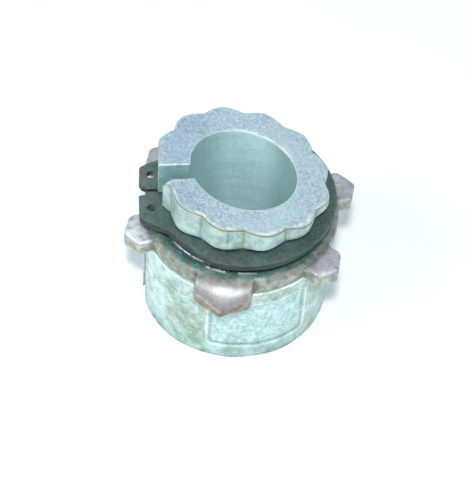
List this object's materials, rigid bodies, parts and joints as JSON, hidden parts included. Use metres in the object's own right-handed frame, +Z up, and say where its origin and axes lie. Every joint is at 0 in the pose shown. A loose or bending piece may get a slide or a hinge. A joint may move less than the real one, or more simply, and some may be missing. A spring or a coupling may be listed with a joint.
{
  "type": "adjustable split-sleeve bushing",
  "caption": "Split inner sleeve with a scalloped wrench head turning in an eccentric slotted outer sleeve that carries a lug ring, held by an external retaining ring.",
  "frame": {"origin": "centre of the outer sleeve's bottom face, on the axis of its outside diameter", "axes": "+Z up along the outer sleeve towards the wrench head, -Y towards the marking panel, -X towards the slots"},
  "size_m": [0.0491, 0.0516, 0.0413],
  "materials": {
    "zinc_body": "pale zinc plating over a cast surface, stained",
    "lug_steel": "worn warm-grey forged steel",
    "dark_spring_steel": "dark phosphated spring steel",
    "zinc_head": "satin zinc plating"
  },
  "bodies": {
    "outer": {"outer_sleeve": "zinc_body", "lug_ring": "lug_steel"},
    "ring": {"retaining_ring": "dark_spring_steel"},
    "inner": {"inner_sleeve": "zinc_head"}
  },
  "joints": [
    {"name": "axial_slide", "type": "slide", "parent": "outer", "child": "ring", "axis": [0, 0, 1], "range_m": [-0.0024, 0.022]},
    {"name": "sleeve_turn", "type": "hinge", "parent": "ring", "child": "inner", "pos_m": [0.00035, 0.001, 0.03], "axis": [0, 0, 1], "continuous": true}
  ]
}
